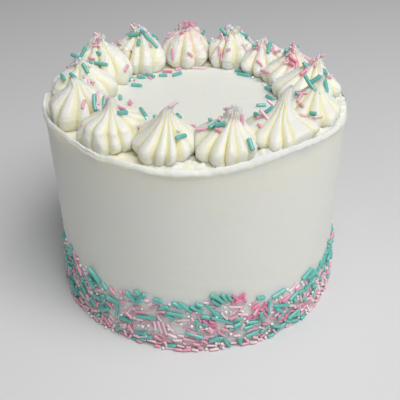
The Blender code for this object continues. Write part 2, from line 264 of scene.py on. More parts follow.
def add_node(tree, kind, settings, **sources):
    """A shader node with settings of its own, fed by the outputs of other nodes."""
    node = tree.nodes.new("ShaderNode" + kind)
    for socket, value in settings.items():
        node.inputs[socket].default_value = value
    for socket, source in sources.items():
        tree.links.new(source, node.inputs[socket])
    return node


def read_layer(tree, name):
    """The value that a piece's own float layer has at each point."""
    layer = tree.nodes.new("ShaderNodeAttribute")
    layer.attribute_name = name
    return layer.outputs["Fac"]


def blend(tree, share, first, second):
    """A colour that goes from the first to the second as the share rises."""
    mix = tree.nodes.new("ShaderNodeMix")
    mix.data_type = 'RGBA'
    tree.links.new(share, mix.inputs[0])
    for socket, colour in ((6, first), (7, second)):
        if isinstance(colour, tuple):
            mix.inputs[socket].default_value = (*colour, 1.0)
        else:
            tree.links.new(colour, mix.inputs[socket])
    return mix.outputs[2]


# painted shadow: the dark olive put in the deepest creases, at the feet of the swirls and where they press
# together
CREASE_SHADOW_COLOUR = (0.60, 0.50, 0.20)
DYED_ICING = (0.90, 0.42, 0.46)
CREASE_SHADOW_FROM = 0.62                                  # past this much painted shade the folds turn to the painted crease shadow


def buttercream(name, layer, clean, deep, grain):
    """Vanilla buttercream: satin, faintly translucent, with painted shade read from a layer: yellower cream
    in its folds and troughs, dark olive shadow deep in creases.
    """
    material = new_material(name, {
        "Roughness": 0.46, "Specular IOR Level": 0.38, "Subsurface Weight": 0.9,
        "Subsurface Radius": (1.0, 0.85, 0.5), "Subsurface Scale": 0.006})
    tree = material.node_tree
    shader = tree.nodes["Principled BSDF"]
    place = tree.nodes.new("ShaderNodeTexCoord").outputs["Object"]

    # the layer is painted shade: up to the threshold it turns the cream yellower, past it to the dark crease
    # shadow
    depth = read_layer(tree, layer)
    mottle = add_node(tree, "TexNoise", {"Scale": 38.0, "Detail": 3.0}, Vector=place)
    creamier = tuple(c * t for c, t in zip(clean, (0.985, 0.98, 0.955)))
    colour = blend(tree, mottle.outputs["Fac"], clean, creamier)
    fold = add_node(tree, "MapRange", {"From Max": CREASE_SHADOW_FROM}, Value=depth)
    colour = blend(tree, fold.outputs["Result"], colour, deep)
    crease_shadow_share = add_node(tree, "MapRange", {"From Min": CREASE_SHADOW_FROM}, Value=depth)
    colour = blend(tree, crease_shadow_share.outputs["Result"], colour, CREASE_SHADOW_COLOUR)
    colour = blend(tree, read_layer(tree, "dye"), colour, DYED_ICING)
    tree.links.new(colour, shader.inputs["Base Color"])

    stretch = add_node(tree, "Mapping", {"Scale": grain}, Vector=place)
    streak = add_node(tree, "TexNoise", {"Scale": 60.0, "Detail": 6.0, "Roughness": 0.6},
                      Vector=stretch.outputs["Vector"])
    airy = add_node(tree, "TexVoronoi", {"Scale": 240.0}, Vector=place)
    pits = add_node(tree, "MapRange", {"From Max": 0.16}, Value=airy.outputs["Distance"])
    low = add_node(tree, "Bump", {"Strength": 0.35, "Distance": 0.0006}, Height=streak.outputs["Fac"])
    fine = add_node(tree, "Bump", {"Strength": 0.25, "Distance": 0.00012},
                    Height=pits.outputs["Result"], Normal=low.outputs["Normal"])
    tree.links.new(fine.outputs["Normal"], shader.inputs["Normal"])
    return material


cake_icing = iced_cake()
# its layer of painted shade turns the cream yellower in the trough and under the swirls
cake_icing.data.materials.append(
    buttercream("Scraped buttercream", "painted_cake_shade", (0.815, 0.825, 0.785), (0.88, 0.83, 0.52), (0.6, 0.6, 4.0)))
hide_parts("cake")

# ---------------------------------------------------------------------------
# The crown of piped swirls. Each is one squeeze of stiff buttercream from a
# large closed star nozzle: some ten fat pleats that pull together into a peak,
# pressed against the swirls on either side and stuck to the top.
# ---------------------------------------------------------------------------
SWIRL_PETALS = 10
SWIRL_COLUMNS = 18 * SWIRL_PETALS
SWIRL_ROWS = 74
# the inner and outer edge of the ring, how far out its icing may reach, and how far a swirl
# spreads to either side, in mm
SWIRL_INNER = 41.6
SWIRL_OUTER = 77.4
SWIRL_LIMIT = 78.0
SWIRL_SPREAD = 16.0
CREASE_WIDTH = 0.006                              # as a share of the way round a swirl
SOFT_PRESS = 1.0                                  # mm over which a swirl flattens against the next

# where each swirl starts, how far it sits out of the ring, azimuth, radius and height of its tip,
# its twist, where its first pleat is, how far its tip hooks over and which way, how torn it is,
# how drawn in its neck is, and how blunt its tip is: degrees and mm
SWIRLS = [
    (-26.0, 0.6, -12.0, 60.5, 22.8, 6.0, 8.0, 2.8, 100.0, 0.10, 1.4, 0.05),
    (-0.9, 2.6, 17.0, 61.0, 20.0, -4.0, 30.0, 0.8, -60.0, 0.20, 1.1, 0.24),
    (23.6, 3.4, 45.5, 61.5, 24.6, -8.0, 14.0, 0.8, 60.0, 0.15, 2.0, 0.05),
    (50.0, 2.8, 69.2, 65.8, 20.4, 5.0, 22.0, 1.2, 90.0, 0.30, 1.6, 0.08),
    (78.0, 0.2, 93.0, 66.2, 22.0, 0.0, 4.0, 1.6, 120.0, 0.45, 1.4, 0.07),
    (102.0, 1.0, 114.0, 60.0, 20.2, 7.0, 35.0, 1.4, 160.0, 0.6, 1.5, 0.05),
    (124.0, 0.0, 137.0, 57.5, 18.6, -6.0, 12.0, 1.6, 60.0, 0.6, 1.2, 0.05),
    (145.0, 1.0, 158.0, 59.0, 19.8, 3.0, 26.0, 1.0, 90.0, 0.9, 0.3, 0.26),
    (170.5, -0.8, 184.2, 58.7, 21.6, -3.0, 18.0, 1.0, 0.0, 1.0, 0.15, 0.24),
    (202.0, 0.0, 212.2, 61.0, 22.0, 5.0, 40.0, 1.0, -90.0, 0.9, 0.3, 0.24),
    (228.0, 1.0, 238.5, 65.0, 24.0, 8.0, 6.0, 2.2, 80.0, 0.7, 0.2, 0.17),
    (252.0, 2.0, 265.5, 61.2, 21.6, -5.0, 24.0, 1.2, -90.0, 0.8, 0.5, 0.08),
    (278.0, 3.0, 293.3, 63.5, 22.4, 4.0, 15.0, 2.0, -100.0, 0.30, 0.3, 0.09),
    (308.7, 2.7, 320.8, 61.5, 22.2, -6.0, 33.0, 1.0, -30.0, 0.12, 1.6, 0.05),
]
# how wide a swirl is from its foot to its tip: full to the top, pulled off, and spun out long
FULL_OUTLINE = [
    (0.00, 0.93), (0.04, 0.95), (0.11, 0.985), (0.20, 1.02), (0.30, 1.03), (0.40, 0.97), (0.50, 0.88),
    (0.58, 0.77), (0.66, 0.63), (0.73, 0.49), (0.80, 0.35), (0.86, 0.24), (0.92, 0.16), (1.00, 0.03),
]
KISS_OUTLINE = [
    (0.00, 0.93), (0.04, 0.95), (0.11, 0.98), (0.20, 1.02), (0.30, 1.03), (0.40, 0.96), (0.48, 0.86),
    (0.56, 0.72), (0.64, 0.55), (0.72, 0.38), (0.79, 0.26), (0.86, 0.19), (0.93, 0.13), (1.00, 0.03),
]
SPIRE_OUTLINE = [
    (0.00, 0.93), (0.05, 0.96), (0.12, 1.00), (0.20, 1.02), (0.28, 0.97), (0.35, 0.84), (0.42, 0.64),
    (0.49, 0.45), (0.56, 0.33), (0.64, 0.25), (0.73, 0.20), (0.83, 0.15), (0.92, 0.10), (1.00, 0.03),
]
# how deep the pleats are cut, from foot to tip
PLEAT_DEPTH = [(0.0, 0.05), (0.1, 0.12), (0.3, 0.17), (0.6, 0.21), (0.85, 0.28), (1.0, 0.15)]
# the pleats of the six swirls at the front: degrees round the swirl from its outer
# side, how deep, how wide, and how sharply creased
FRONT_PLEATS = {
    0: ((-84, 0.5, 9, 0), (-42, 0.45, 9, 0), (-6, 0.95, 6, 0), (19, 0.5, 3, 1), (41, 1.15, 5, 0.5),
        (70, 0.4, 9, 0), (104, 0.9, 7, 0), (137, 1.0, 7, 0), (170, 0.9, 7, 0), (205, 0.9, 7, 0),
        (240, 1.0, 7, 0)),
    1: ((-81, 0.9, 7, 0), (-47, 0.9, 9, 0), (-15, 0.9, 4, 1), (6, 0.5, 9, 0), (30, 0.4, 7, 0),
        (66, 0.8, 7, 0.4), (100, 0.9, 7, 0), (135, 1.0, 7, 0), (170, 0.9, 7, 0), (205, 0.9, 7, 0),
        (242, 1.0, 7, 0)),
    2: ((-68, 0.8, 7, 0), (-39, 0.9, 5, 0.6), (-19, 0.6, 7, 0.3), (38, 0.6, 8, 0), (75, 0.8, 7, 0),
        (112, 1.0, 7, 0), (150, 0.9, 7, 0), (188, 0.9, 7, 0), (226, 1.0, 7, 0), (262, 0.7, 8, 0)),
    3: ((-115, 0.9, 8, 0.2), (-80, 0.9, 9, 0.3), (-45, 0.8, 9, 0), (-2, 0.9, 8, 0), (36, 0.9, 7, 0),
        (74, 0.9, 7, 0), (112, 0.9, 7, 0), (150, 1.0, 7, 0), (190, 0.9, 8, 0), (215, 0.8, 6, 0)),
    12: ((-22, 0.4, 9, 0), (28, 0.6, 7, 0.2), (68, 0.7, 8, 0), (98, 0.8, 5, 0.9), (136, 0.9, 7, 0),
         (170, 1.0, 7, 0), (205, 0.9, 7, 0), (240, 0.9, 7, 0), (275, 1.0, 7, 0), (307, 0.8, 7, 0)),
    13: ((-34, 0.3, 8, 0), (1, 0.6, 7, 0), (37, 0.9, 6, 0), (60, 0.45, 3, 1), (93, 1.0, 7, 0.2),
         (125, 0.9, 7, 0), (158, 1.0, 7, 0), (192, 0.9, 7, 0), (227, 0.9, 7, 0), (262, 1.0, 7, 0),
         (298, 0.6, 8, 0)),
}

# pleats that stand out from the rest: how far up, how tall, how much fatter, where round
# the swirl in degrees, and how narrowly
SHOULDERS = {
    13: (0.52, 0.12, 0.25, 0.0, 0.0), 2: (0.30, 0.22, 0.17, 50.0, 3.0), 7: (0.72, 0.20, 0.08, 0.0, 0.0),
    8: (0.74, 0.20, 0.13, 0.0, 0.0), 9: (0.72, 0.20, 0.12, 0.0, 0.0), 10: (0.62, 0.20, 0.06, 0.0, 0.0),
}

# where dye from the pink sprinkles ran into the icing: azimuth, radius, height, reach and strength
STAINS = [
    (184, 58, 20, 8, 0.42), (198, 61, 14, 7, 0.30), (180, 50, 10, 6, 0.16), (164, 56, 16, 4, 0.45),
    (133, 50, 10, 3, 0.35), (114, 59, 15, 8, 0.34), (104, 60, 13, 6, 0.25), (92, 64, 17, 5, 0.22),
    (238, 65, 22, 5, 0.18), (15, 63, 16, 3, 0.25), (-54, 61, 12, 2.5, 0.40),
]
STRONGEST_DYE = 0.5


def swirl_settings(index):
    """What makes one swirl differ from the next, drawn once."""
    draw = random.Random(40 + index)
    twist, first = SWIRLS[index][5:7]
    valleys = []
    for k in range(SWIRL_PETALS):
        place = (k + draw.uniform(-0.22, 0.22)) / SWIRL_PETALS
        valleys.append((place, draw.uniform(-0.03, 0.03), draw.uniform(0.012, 0.032), draw.uniform(0.5, 1.2),
                        draw.choice((0.0, 0.5, 1.0))))
    if index in FRONT_PLEATS:
        valleys = sorted(((angle - first - 0.7 * twist) % 360.0 / 360.0, 0.0, wide / 360.0, deep, cut)
                         for angle, deep, wide, cut in FRONT_PLEATS[index])
    petals = [(draw.uniform(0.94, 1.06), draw.uniform(0.75, 1.35), draw.choice((0.0, 0.0, 0.3, 0.9)))
              for _ in valleys]
    return valleys, petals


def find_petal(valleys, around, share):
    """Which petal a place is on, how far across it, and how deep in a fold and in a crease."""
    fold, crease, petal = 0.0, 0.0, len(valleys) - 1
    places = [place + drift * (share - 0.3) for place, drift, *_ in valleys]
    for number, (place, valley) in enumerate(zip(places, valleys)):
        half, depth, cut = valley[2:]
        away = abs((around - place + 0.5) % 1.0 - 0.5)
        fold = max(fold, depth * math.exp(-(away / half) ** 1.25))
        crease = max(crease, cut * math.exp(-(away / CREASE_WIDTH) ** 2) * math.sin(math.pi * share ** 0.8))
        if around >= place:
            petal = number
    left, right = places[petal], places[(petal + 1) % len(places)]
    left -= 1.0 if around < left else 0.0
    right += 1.0 if right < left else 0.0
    return petal, ramp(around, left, right - left), fold, crease


def outline(neck, share):
    """How wide a swirl is this far up, by how drawn in its neck is."""
    if neck > 1.0:
        return (2.0 - neck) * between(KISS_OUTLINE, share) + (neck - 1.0) * between(SPIRE_OUTLINE, share)
    return (1.0 - neck) * between(FULL_OUTLINE, share) + neck * between(KISS_OUTLINE, share)


def shoulder(index, swing, share):
    """How much fatter a swirl is where some of its pleats stand out."""
    if index not in SHOULDERS:
        return 0.0
    middle, tall, extra, facing, narrow = SHOULDERS[index]
    return (extra * math.exp(-((share - middle) / tall) ** 2)
            * math.exp((math.cos(swing - math.radians(facing)) - 1.0) * narrow))


def press_together(point, start, end):
    """Flatten a swirl against those beside it, keep it inside the rim, and say how hard it is pressed."""
    squeezed = 0.0
    for azimuth, sign in ((start, 1.0), (end, -1.0)):
        inward = at(azimuth + 90.0, sign, 0.0)
        room = point.dot(inward)
        if room < SOFT_PRESS:
            pressed = SOFT_PRESS * math.exp(room / SOFT_PRESS - 1.0) - 0.05
            squeezed = max(squeezed, min(1.0, (pressed - room) / 1.6))
            point += inward * (pressed - room)
    reach = math.hypot(point.x, point.y)
    if reach > SWIRL_LIMIT - 1.0:
        point *= (SWIRL_LIMIT - math.exp(SWIRL_LIMIT - 1.0 - reach)) / reach
    return point, squeezed


def swirl_point(index, settings, turn, share):
    """Surface of one swirl in metres, and how much painted shade it gets there."""
    (start, seat, tip_azimuth, tip_radius, tip_height, twist, first, hook, hook_azimuth,
     torn, neck, blunt) = SWIRLS[index]
    valleys, petals = settings
    end = SWIRLS[(index + 1) % len(SWIRLS)][0]
    end += 360.0 if end < start else 0.0
    middle = (start + end) / 2.0

    # pleats: broad rounded petals with valleys of all widths between them
    petal, across, fold, crease = find_petal(valleys, turn / math.tau, share)
    proud, lean, lifted = petals[petal]
    bulge = max(0.0, math.sin(math.pi * across ** lean)) ** 0.8
    swing = turn + math.radians(first + 2.0 * twist * share)
    width = outline(neck, share) + shoulder(index, swing, share)
    width = math.sqrt(width * width + (blunt * share ** 4) ** 2)
    width *= (1.0 - 0.10 * (1.0 - bulge)) * (1.0 - between(PLEAT_DEPTH, share) * fold) * proud ** bulge
    width *= (1.0 - 0.09 * crease) * math.sqrt(max(0.02, 1.0 - max(0.0, (share - 0.96) / 0.04) ** 2))

    # torn ridges: stiff icing breaks into little steps along each pleat
    grit = Vector((math.cos(turn) * 5.0, math.sin(turn) * 5.0 + index * 3.0, share * 16.0))
    tear = noise.noise(grit) + 0.7 * noise.noise(grit * 2.7)
    width += torn * 0.030 * bulge * tear * min(1.0, share * 4.0)
    # and pulls up in little spikes round a torn peak
    spike = max(0.0, noise.noise(Vector((math.cos(turn) * 3.2 + index, math.sin(turn) * 3.2, share * 9.0))))
    spike = torn * ramp(share, 0.5, 0.3) * spike ** 1.3
    width += 0.16 * spike
    # fine lines drawn out by the nozzle as it lifts
    width *= 1.0 + 0.05 * math.sin(turn * 31.0 + index) * share ** 3

    over = width * SWIRL_SPREAD * math.sin(swing) * min(1.0, 0.87 + 0.9 * share)
    along = width * (SWIRL_OUTER - SWIRL_INNER) / 2.0 * math.cos(swing)
    heart = at(middle, (SWIRL_INNER + SWIRL_OUTER) / 2.0 + seat, 0.0)
    pull = at(tip_azimuth, tip_radius, 0.0) - heart
    out, side = at(middle, 1.0, 0.0), at(middle + 90.0, 1.0, 0.0)
    bend = max(0.0, share - 0.84) / 0.16
    point = heart + pull * share ** 1.7 + out * along + side * over + at(hook_azimuth, hook * bend ** 2, 0.0)
    point, squeezed = press_together(point, start, end)
    point.z = tip_height * share - 0.4 * (share < 0.001) + 0.9 * lifted * bulge * max(0.0, 1.0 - share / 0.08)
    # the ridges end at their own heights, more so where the icing tore
    frayed = noise.noise(Vector((petal * 1.7, index * 2.3, 0.5)))
    point.z += (0.5 + 1.6 * torn) * frayed * bulge * math.sin(math.pi * min(1.0, share * 1.1)) ** 2
    point.z += (1.5 * blunt / 0.15) * (bulge - 0.6 + 1.2 * frayed) * bend + 2.2 * spike
    # painted shade: yellower cream down the valleys, less near the tip; the dark painted crease shadow in
    # crisp creases, at the very foot and low where swirls press together
    painted_swirl_shade = min(0.62, 0.54 * fold ** 0.9 + 0.18 * (1.0 - bulge)) * min(1.0, 0.6 + share) * (1.0 - 0.6 * bend)
    painted_swirl_shade = max(painted_swirl_shade + 0.36 * crease, (0.12 + 0.80 * max(0.0, 1.0 - share / 0.18)) * squeezed,
                0.45 * max(0.0, 1.0 - share / 0.07), 1.0 - share / 0.02)
    return Vector((point.x * MM, point.y * MM, TOP_HEIGHT + point.z * MM)), painted_swirl_shade


def piped_swirl(index):
    """One swirl, in rings from its foot to its tip, and pink where dye ran into it."""
    settings = swirl_settings(index)
    points, painted_swirl_shades, faces = [], [], []
    for row in range(SWIRL_ROWS):
        share = (row / (SWIRL_ROWS - 1)) ** 0.92
        for column in range(SWIRL_COLUMNS):
            point, painted_swirl_shade = swirl_point(index, settings, math.tau * column / SWIRL_COLUMNS, share)
            points.append(point)
            painted_swirl_shades.append(painted_swirl_shade)
    for row in range(SWIRL_ROWS - 1):
        for column in range(SWIRL_COLUMNS):
            a, b = row * SWIRL_COLUMNS + column, row * SWIRL_COLUMNS + (column + 1) % SWIRL_COLUMNS
            faces.append((a, b, b + SWIRL_COLUMNS, a + SWIRL_COLUMNS))
    last = (SWIRL_ROWS - 1) * SWIRL_COLUMNS
    foot, tip = Vector(), Vector()
    for column in range(SWIRL_COLUMNS):
        foot += points[column] / SWIRL_COLUMNS
        tip += points[last + column] / SWIRL_COLUMNS
    points += [foot, tip + Vector((0.0, 0.0, 0.15 * MM))]
    painted_swirl_shades += [1.0, 0.0]
    for column in range(SWIRL_COLUMNS):
        beside = (column + 1) % SWIRL_COLUMNS
        faces.append((len(points) - 2, beside, column))
        faces.append((len(points) - 1, last + column, last + beside))
    dyes = [0.0] * len(points)
    for azimuth, radius, height, reach, strength in STAINS:
        spot = at(azimuth, radius * MM, TOP_HEIGHT + height * MM)
        for k, point in enumerate(points):
            away = (point - spot).length / (reach * MM)
            dyes[k] = min(STRONGEST_DYE, dyes[k] + strength * math.exp(-away ** 2))
    piece = mesh_piece("piped_swirl_%02d" % (index + 1), points, faces)
    float_layer(piece, "painted_swirl_shade", painted_swirl_shades)
    float_layer(piece, "dye", dyes)
    return piece


EVEN_GRAIN = (1.0, 1.0, 1.0)
piped_icing = buttercream("Piped buttercream", "painted_swirl_shade", (0.79, 0.79, 0.77), (0.86, 0.825, 0.54), EVEN_GRAIN)
# the swirls at the back get a lighter copy of the piped icing: painted light, as they stand in brighter light
# than the front ones
painted_light_icing = buttercream("Piped buttercream with painted light", "painted_swirl_shade", (0.85, 0.85, 0.83), (0.88, 0.85, 0.60),
                          EVEN_GRAIN)
PAINTED_LIGHT_SWIRLS = range(4, 12)
swirls = []
for index in range(len(SWIRLS)):
    swirl = piped_swirl(index)
    swirl.data.materials.append(painted_light_icing if index in PAINTED_LIGHT_SWIRLS else piped_icing)
    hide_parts("swirl_%02d" % (index + 1))
    swirls.append(swirl)

# ---------------------------------------------------------------------------
# The sprinkle mix. Extruded sugar rods (long teal ones, thinner pink, strong
# pink and pale pink ones) and small white pearls: each kind is gathered into
# one piece as it is cast, so that the mix is five joined meshes.
# ---------------------------------------------------------------------------
ROD_SIDES = 10
PEARL_SIDES = 12
PEARL_RINGS = 7
# the rounded end of a rod: how far in and how wide, as shares of its radius
ROD_END = ((0.05, 0.66), (0.22, 0.92), (0.5, 1.0))
TEAL, PINK, ROSE, PALE, PEARL = "teal_rods", "pink_rods", "rose_rods", "pale_rods", "white_pearls"
THICKNESS = {TEAL: 2.1, PINK: 1.5, ROSE: 1.6, PALE: 1.45, PEARL: 1.65}
gathered = {kind: ([], []) for kind in THICKNESS}


def add_rod(kind, place, lie, out, length, thick, bow):
    """One sugar rod with rounded ends, bowed a little, its axis through place (mm)."""
    points, faces = gathered[kind]
    lie = (lie - out * lie.dot(out)).normalized()
    side = lie.cross(out)
    half, round_end = length / 2.0, thick / 2.0
    rings = [(-half + round_end * x, size) for x, size in ROD_END]
    rings += [(x, 1.0) for x in np.linspace(-half + round_end * 1.2, half - round_end * 1.2, 4)]
    rings += [(half - round_end * x, size) for x, size in reversed(ROD_END)]
    first = len(points)
    for x, size in rings:
        centre = place + lie * x + side * (bow * (1.0 - (x / half) ** 2))
        for k in range(ROD_SIDES):
            turn = math.tau * k / ROD_SIDES
            spoke = out * math.cos(turn) + side * math.sin(turn)
            points.append((centre + spoke * size * round_end) * MM)
    for ring in range(len(rings) - 1):
        for k in range(ROD_SIDES):
            a, b = first + ring * ROD_SIDES + k, first + ring * ROD_SIDES + (k + 1) % ROD_SIDES
            faces.append((a, a + ROD_SIDES, b + ROD_SIDES, b))
    for end, ring in ((-half, 0), (half, len(rings) - 1)):
        points.append((place + lie * end) * MM)
        for k in range(ROD_SIDES):
            a, b = first + ring * ROD_SIDES + k, first + ring * ROD_SIDES + (k + 1) % ROD_SIDES
            faces.append((len(points) - 1, a, b) if end < 0 else (len(points) - 1, b, a))


def add_pearl(place, thick):
    """One round sugar pearl."""
    points, faces = gathered[PEARL]
    first = len(points)
    points.append((place + Vector((0.0, 0.0, thick / 2.0))) * MM)
    for ring in range(1, PEARL_RINGS):
        polar = math.pi * ring / PEARL_RINGS
        girth = math.sin(polar)
        for k in range(PEARL_SIDES):
            turn = math.tau * k / PEARL_SIDES
            spoke = Vector((girth * math.cos(turn), girth * math.sin(turn), math.cos(polar)))
            points.append((place + spoke * thick / 2.0) * MM)
    points.append((place - Vector((0.0, 0.0, thick / 2.0))) * MM)
    for k in range(PEARL_SIDES):
        beside = (k + 1) % PEARL_SIDES
        faces.append((first, first + 1 + k, first + 1 + beside))
        for ring in range(PEARL_RINGS - 2):
            a, b = first + 1 + ring * PEARL_SIDES + k, first + 1 + ring * PEARL_SIDES + beside
            faces.append((a, a + PEARL_SIDES, b + PEARL_SIDES, b))
        low = first + 1 + (PEARL_RINGS - 2) * PEARL_SIDES
        faces.append((len(points) - 1, low + beside, low + k))


def usual_length(kind, draw):
    """How long the next rod of this kind is, in mm."""
    if kind == TEAL:
        return draw.choice((4.5, 5.5, 6.0, 6.5, 7.0, 8.0, 9.5)) * draw.uniform(0.92, 1.08)
    return draw.uniform(3.6, 6.2)


def handful(draw, shares):
    """Which kind comes next out of a handful mixed in these shares."""
    pick = draw.random() * sum(share for _, share in shares)
    for kind, share in shares:
        pick -= share
        if pick <= 0.0:
            return kind
    return shares[-1][0]


# ---------------------------------------------------------------------------
# The band round the foot. Handfuls of the mix pressed into the soft side from
# below: crowded at the table, with icing showing through in patches at the front,
# and thinning upwards to a ragged edge where mostly the long teal rods stick.
# ---------------------------------------------------------------------------
FOOT_GAP = 0.35                                   # mm between the table and the lowest sprinkles
CELL = 3.0                                        # mm, for finding the neighbours of a sprinkle
cells = {}
# azimuth, and how high the upper edge of the band is there, in mm
BAND_EDGE = [
    (-180, 34), (-150, 30), (-120, 33), (-100, 30), (-83, 27), (-72, 36), (-62, 39), (-59, 36),
    (-54, 36), (-50, 33), (-45, 37), (-42, 33), (-36, 31), (-30, 31), (-23, 35), (-20, 32), (-17, 30),
    (-12, 31), (-3, 33), (2, 33), (7, 37), (14, 36), (18, 27), (23, 30), (27, 27), (31, 29), (36, 29),
    (40, 27), (45, 32), (50, 29), (55, 26), (62, 28), (69, 33), (77, 29), (90, 28), (120, 30),
    (150, 34), (180, 34),
]


def room_for(azimuth, height, lean, length, thick, squeeze):
    """Spots along a sprinkle on the unrolled side, or nothing where the place is taken."""
    x, y = math.radians(azimuth) * WALL_MM, height
    half = max(0.0, (length - thick) / 2.0)
    count = max(1, int(half / (thick * 0.35)))
    spots = [(x + math.cos(lean) * half * k / count, y + math.sin(lean) * half * k / count)
             for k in range(-count, count + 1)]
    for px, py in spots:
        column, row = int(px // CELL), int(py // CELL)
        for cell in ((column + i, row + j) for i in (-1, 0, 1) for j in (-1, 0, 1)):
            for qx, qy, other in cells.get(cell, ()):
                limit = (thick + other) / 2.0 * squeeze
                if (px - qx) ** 2 + (py - qy) ** 2 < limit * limit:
                    return None
    return spots


def press_in(kind, azimuth, height, lean, length, lift, squeeze, draw):
    """Press one sprinkle into the side if there is room for it.

    It stands proud by the lift in mm, and the lower the squeeze, the closer it may come to others.
    """
    thick = THICKNESS[kind] * draw.uniform(0.92, 1.08)
    if kind == PEARL:
        length = thick
    azimuth = (azimuth + 180.0) % 360.0 - 180.0
    reach = abs(math.sin(lean)) * (length - thick) / 2.0 + thick / 2.0
    height = max(height, reach + FOOT_GAP)
    spots = room_for(azimuth, height, lean, length, thick, squeeze)
    if spots is None:
        return
    for px, py in spots:
        cells.setdefault((int(px // CELL), int(py // CELL)), []).append((px, py, thick))
    out, side = at(azimuth, 1.0, 0.0), at(azimuth + 90.0, 1.0, 0.0)
    lie = side * math.cos(lean) + Vector((0.0, 0.0, math.sin(lean)))
    curve = (math.cos(lean) * length / 2.0) ** 2 / (2.0 * WALL_MM) * 0.6
    place = at(azimuth, WALL_MM + lift + thick * draw.uniform(0.05, 0.38) - curve, height)
    if kind == PEARL:
        add_pearl(place, thick)
    else:
        tip = draw.uniform(-0.14, 0.14)
        add_rod(kind, place, lie + out * tip, (out - lie * tip).normalized(), length, thick,
                draw.uniform(-0.08, 0.08) * length)


# the sprinkles that stand out at the front: azimuth, height, lean and length of each
FRONT_SPRINKLES = {
    TEAL: (
        (-43, 34, -50, 11), (-41, 31, -52, 9), (-26, 31, -45, 7), (-23, 35, -60, 3.5), (-15, 33, -5, 5),
        (-13, 28, 15, 6), (-20, 19, 5, 11), (-29, 13, 10, 8), (-33, 18, 84, 10), (-34, 24, -13, 8),
        (-24, 1, 17, 8), (-23, 7, 20, 8), (-20, 5, 18, 5), (-49, 11, -25, 7), (-40, 18, 53, 8),
        (-55, 27, -60, 9), (-63, 33, -70, 8), (-52, 17, -60, 8), (-9, 25, -5, 9), (-8, 31, -34, 6),
        (-5, 30, -37, 8), (0, 32, -23, 4), (-1, 29, -37, 8), (4, 28, -55, 9), (2, 31, -60, 6),
        (6, 33, -47, 7), (9, 35, -65, 7), (11, 35, -60, 5), (8, 20, -34, 13), (7, 24, -45, 6),
        (2, 23, -8, 5), (-1, 18, -87, 7), (2, 18, -42, 4), (-2, 11, -18, 10), (6, 7, 13, 8),
        (13, 13, -9, 7), (14, 19, 6, 4.5), (20, 14, -5, 8), (20, 6, 4, 8), (26, 6, 17, 8),
        (10, 5, -67, 9), (15, 4, -76, 7), (23, 30, -10, 5), (31, 28, 10, 9), (27, 21, 88, 10),
        (35, 12, 12, 12), (39, 20, 25, 7), (48, 21, 20, 8), (46, 30, 15, 9), (60, 24, 50, 10),
        (63, 17, -60, 8), (33, 3, 20, 7), (53, 12, 40, 8),
    ),
    PINK: (
        (-17, 27, 43, 6), (-22, 22, 11, 8), (-36, 18, -66, 5), (-34, 30, -54, 5), (-30, 31, -55, 3.5),
        (20, 9, -4, 7), (8, 11, -50, 6), (-3, 13, -31, 6), (-4, 7, -17, 7), (50, 22, -10, 5),
        (-56, 33, -62, 6), (-42, 25, 21, 4), (-45, 15, -70, 6), (-39, 5, -55, 8), (-31, 1, 2, 6),
        (-14, 8, -38, 5), (-16, 6, -36, 5), (42, 8, 30, 6), (47, 5, 28, 5),
    ),
    PALE: (
        (13, 28, -16, 7), (9, 23, -56, 6), (16, 22, -16, 6), (-6, 21, 0, 7), (-15, 14, -78, 9),
        (-13, 14, -74, 8), (-11, 15, -62, 6), (-17, 15, -84, 7), (38, 27, 35, 6), (-49, 28, -60, 6),
        (-47, 24, -66, 5), (-25, 29, -48, 6), (57, 20, 60, 5), (12, 2, -20, 5),
    ),
    ROSE: (
        (13, 34.5, -56, 5), (15.5, 34, 50, 5), (14.5, 31.5, 5, 5), (12.2, 32, 80, 4),
        (16.5, 31.8, -70, 4.5), (22.5, 22.5, -42, 6), (21, 24.5, 20, 4.5), (24.5, 23.5, 60, 5),
        (23.5, 20.5, 0, 5), (21.5, 19.5, 40, 4), (25.5, 21, -70, 4), (19, 18.5, 20, 5), (3, 19, -43, 7),
        (5, 18, -50, 6), (38, 10, -12, 5), (35, 8, 50, 4), (-57, 30, -64, 5),
    ),
    PEARL: (
        (-1, 27, 0, 0), (-4, 24, 0, 0), (10, 15, 0, 0), (-31, 15, 0, 0), (-30, 4, 0, 0), (-46, 20, 0, 0),
        (-38, 3, 0, 0), (30, 24, 0, 0), (43, 27, 0, 0), (44, 24, 0, 0),
    ),
}
draw = random.Random(2)
for kind, rods in FRONT_SPRINKLES.items():
    for azimuth, height, lean, length in rods:
        press_in(kind, azimuth, height, math.radians(lean), length, lift=0.25, squeeze=0.4, draw=draw)

# the loose row along the foot, and a closer one behind it
draw = random.Random(31)
for height, out, shares in ((0.85, 1.5, ((PINK, 5), (PALE, 6), (PEARL, 5), (TEAL, 0.5))),
                            (2.3, 0.5, ((PINK, 5), (PALE, 5), (PEARL, 4), (TEAL, 2)))):
    azimuth = 0.0
    while azimuth < 360.0:
        kind = handful(draw, shares)
        length = usual_length(kind, draw) * 0.8
        press_in(kind, azimuth, height, math.radians(draw.gauss(0.0, 14.0)), length,
                 lift=out + draw.uniform(-0.5, 0.5), squeeze=0.45, draw=draw)
        azimuth += math.degrees((length * 0.75 + 0.9) / WALL_MM)


def bare(azimuth, share, height):
    """How much icing shows through the band: in patches at the front, between foot and upper edge."""
    spot = at(azimuth, 1.0, 0.0)
    patch = noise.noise(Vector((spot.x * 13.0 + 70.0, spot.y * 13.0, height / 6.0)))
    front = swell(azimuth, -8.0, 30.0) * math.sin(math.pi * min(1.0, 0.12 + share)) ** 0.5
    return max(0.0, front * (0.55 + 1.3 * patch)) + max(0.0, 1.1 * patch - 0.25)


